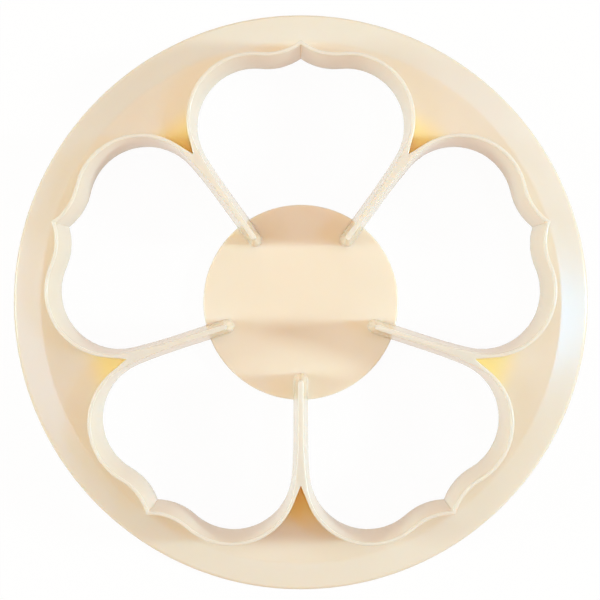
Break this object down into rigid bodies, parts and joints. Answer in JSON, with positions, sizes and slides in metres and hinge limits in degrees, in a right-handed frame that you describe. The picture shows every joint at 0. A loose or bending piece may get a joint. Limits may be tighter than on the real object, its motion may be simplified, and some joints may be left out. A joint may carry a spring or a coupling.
{
  "type": "one-piece flower cutter",
  "caption": "Round flat-backed ivory plastic pastry cutter: upright blades outline open petals with pointed tips, parted by thin walls that end on a central disc, inside a wide rim.",
  "frame": {"origin": "centre of the flat back face, on the cutter's axis", "axes": "+Z from the back face towards the cutting edge, +Y towards the top petal, +X to the right when looking at the cutting edge"},
  "size_m": [0.11, 0.11, 0.0125],
  "materials": {
    "ivory_plastic": "semi-gloss moulded plastic, slightly translucent"
  },
  "bodies": {
    "root": {"centre_disc": "ivory_plastic", "petal_wall_top": "ivory_plastic", "divider_wall_top_left": "ivory_plastic", "web_panel_top_left": "ivory_plastic", "rim_arc_top_left": "ivory_plastic", "petal_wall_upper_left": "ivory_plastic", "divider_wall_left": "ivory_plastic", "web_panel_left": "ivory_plastic", "rim_arc_left": "ivory_plastic", "petal_wall_lower_left": "ivory_plastic", "divider_wall_bottom": "ivory_plastic", "web_panel_bottom": "ivory_plastic", "rim_arc_bottom": "ivory_plastic", "petal_wall_lower_right": "ivory_plastic", "divider_wall_right": "ivory_plastic", "web_panel_right": "ivory_plastic", "rim_arc_right": "ivory_plastic", "petal_wall_upper_right": "ivory_plastic", "divider_wall_top_right": "ivory_plastic", "web_panel_top_right": "ivory_plastic", "rim_arc_top_right": "ivory_plastic"}
  },
  "joints": []
}
